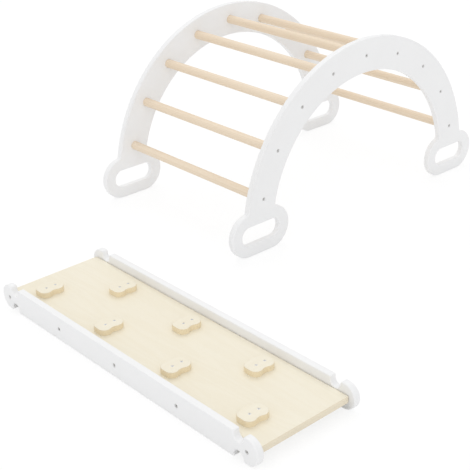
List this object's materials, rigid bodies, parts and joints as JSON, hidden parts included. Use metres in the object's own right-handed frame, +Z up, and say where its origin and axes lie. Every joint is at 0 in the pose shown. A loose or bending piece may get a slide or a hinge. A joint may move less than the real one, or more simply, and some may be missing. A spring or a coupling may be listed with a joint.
{
  "type": "climbing arch with ramp",
  "caption": "Low half-round rung arch on looped feet, with a separate reversible climbing ramp that hooks onto its rungs.",
  "frame": {"origin": "middle of the whole set's footprint, on the floor", "axes": "+X along the span of the arch, from the ramp to the arch; +Y from the near side panel to the far one, which is also along the ramp; +Z up"},
  "size_m": [1.531, 1.2349, 0.499],
  "materials": {
    "white_board": "satin white paint",
    "rung_wood": "clear matte lacquer",
    "birch_ply": "clear matte lacquer",
    "zinc_steel": "zinc plated"
  },
  "bodies": {
    "arch": {"near_side_panel": "white_board", "far_side_panel": "white_board", "rung_1": "rung_wood", "rung_2": "rung_wood", "rung_3": "rung_wood", "rung_4": "rung_wood", "rung_5": "rung_wood", "rung_6": "rung_wood", "rung_7": "rung_wood", "rung_8": "rung_wood", "rung_9": "rung_wood", "near_panel_screws": "zinc_steel", "far_panel_screws": "zinc_steel"},
    "ramp": {"near_rail": "white_board", "far_rail": "white_board", "ramp_board": "birch_ply", "hold_1": "birch_ply", "hold_2": "birch_ply", "hold_3": "birch_ply", "hold_4": "birch_ply", "hold_5": "birch_ply", "hold_6": "birch_ply", "hold_7": "birch_ply", "near_rail_screws": "zinc_steel", "far_rail_screws": "zinc_steel", "hold_screws": "zinc_steel"}
  },
  "joints": [
    {"name": "ramp_lift", "type": "slide", "parent": "arch", "child": "ramp", "axis": [0, 0, 1], "range_m": [0, 0.5]}
  ]
}
